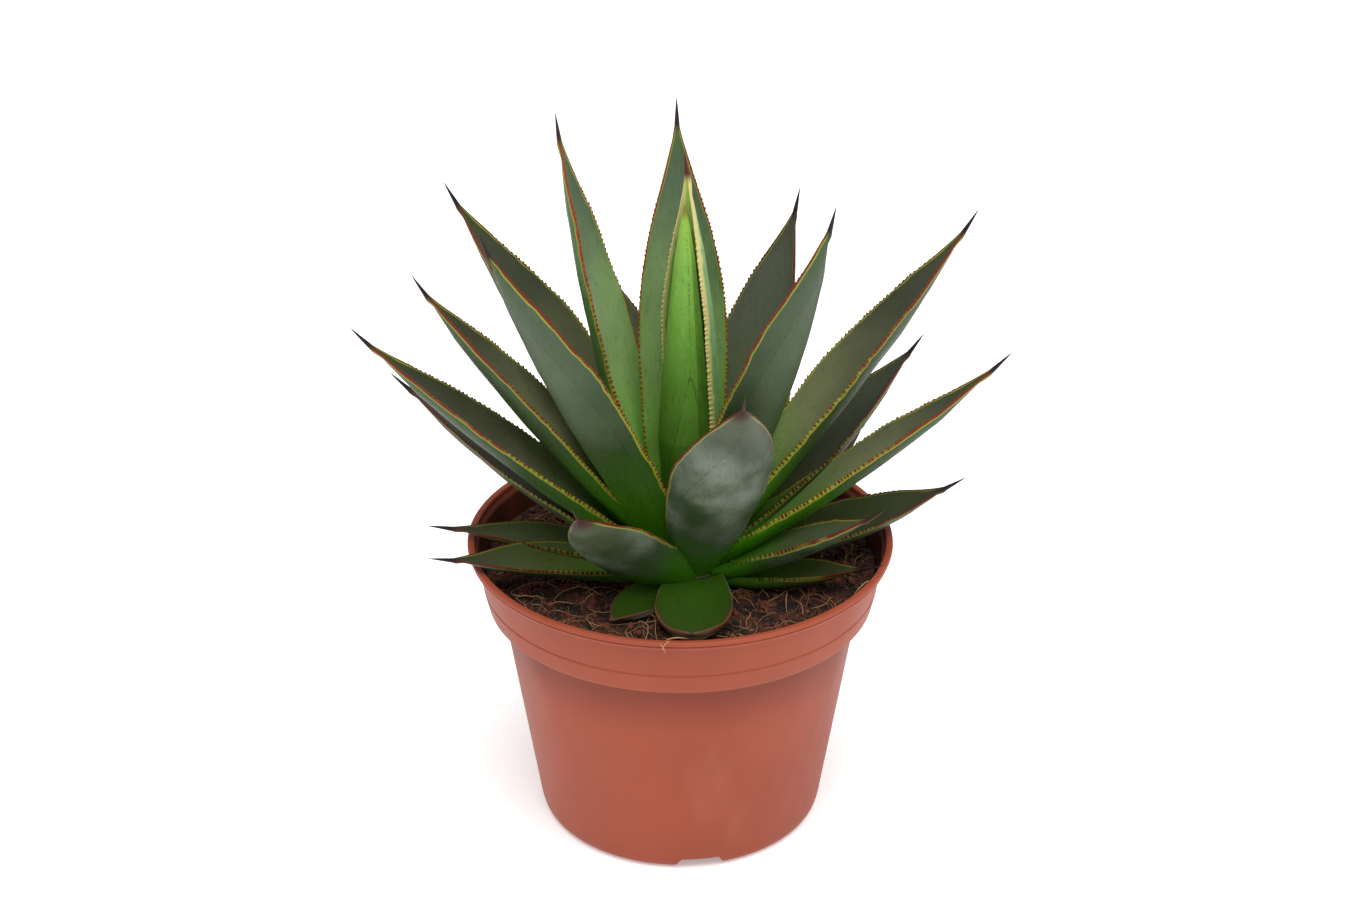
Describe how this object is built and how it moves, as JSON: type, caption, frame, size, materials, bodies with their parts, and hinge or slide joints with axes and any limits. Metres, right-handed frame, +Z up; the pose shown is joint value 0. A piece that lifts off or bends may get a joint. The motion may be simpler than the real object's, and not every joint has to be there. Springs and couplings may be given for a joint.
{
  "type": "potted agave",
  "caption": "Young agave rosette of stiff channelled leaves with toothed red margins and dark tip spines, growing in peat in a tapered terracotta-coloured plastic nursery pot.",
  "frame": {"origin": "centre of the pot's underside, on the plane the pot stands on", "axes": "+Z up along the pot's axis; -Y is the side the plant leans towards, which is its front; +X to the right seen from the front"},
  "size_m": [0.2503, 0.1815, 0.299],
  "materials": {
    "pot": "satin",
    "soil": "matte",
    "stem": "satin",
    "young_leaf": "satin",
    "leaf": "satin"
  },
  "bodies": {
    "root": {"pot": "pot", "soil": "soil", "stem": "stem", "spear": "young_leaf", "leaf_01": "young_leaf", "leaf_02": "leaf", "leaf_03": "leaf", "leaf_04": "leaf", "leaf_05": "leaf", "leaf_06": "leaf", "leaf_07": "leaf", "leaf_08": "leaf", "leaf_09": "leaf", "leaf_10": "leaf", "leaf_11": "leaf", "leaf_12": "leaf", "leaf_13": "leaf", "leaf_14": "leaf", "leaf_15": "leaf", "leaf_16": "leaf", "leaf_17": "leaf", "leaf_18": "leaf", "leaf_19": "leaf", "leaf_20": "leaf", "leaf_21": "leaf", "leaf_22": "leaf", "leaf_23": "leaf", "leaf_24": "leaf", "leaf_25": "leaf", "leaf_26": "leaf", "leaf_27": "leaf", "leaf_28": "leaf", "leaf_29": "leaf", "leaf_30": "leaf", "leaf_31": "leaf"}
  },
  "joints": []
}
